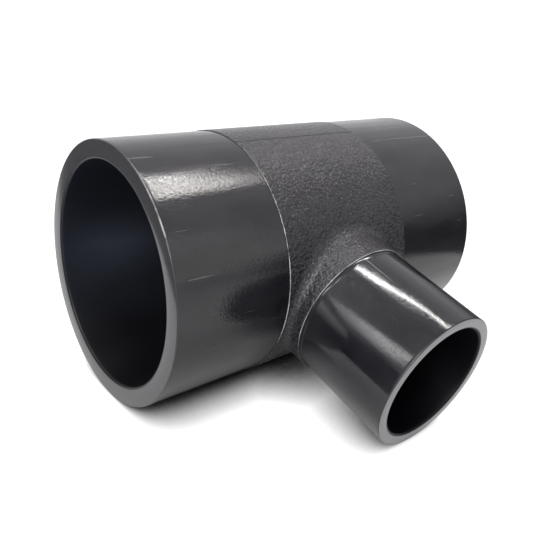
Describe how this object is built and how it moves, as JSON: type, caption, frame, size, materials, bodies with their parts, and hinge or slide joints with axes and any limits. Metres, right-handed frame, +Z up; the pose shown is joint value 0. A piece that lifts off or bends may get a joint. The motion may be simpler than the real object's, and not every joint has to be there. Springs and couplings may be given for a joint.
{
  "type": "moulded reducing pipe tee",
  "caption": "Plain-ended polyethylene reducing tee: straight run, smaller square branch on a filleted saddle, grained band between polished butt-fusion spigots.",
  "frame": {"origin": "on the floor that the tee lies on, under the middle of its bounding box", "axes": "+X along the run's axis, +Z up; the branch points to -Y and dips until its rim meets the floor"},
  "size_m": [0.25, 0.2454, 0.161],
  "materials": {
    "grained_body": "fine leather grain from the mould, matte",
    "polished_run": "smooth as-moulded polyethylene, soft gloss with a faint lengthwise drag",
    "polished_branch": "polished as-moulded polyethylene with handling scratches"
  },
  "bodies": {
    "root": {"tee_body": "grained_body", "run_spigot_left": "polished_run", "run_spigot_right": "polished_run", "branch_spigot": "polished_branch"}
  },
  "joints": []
}
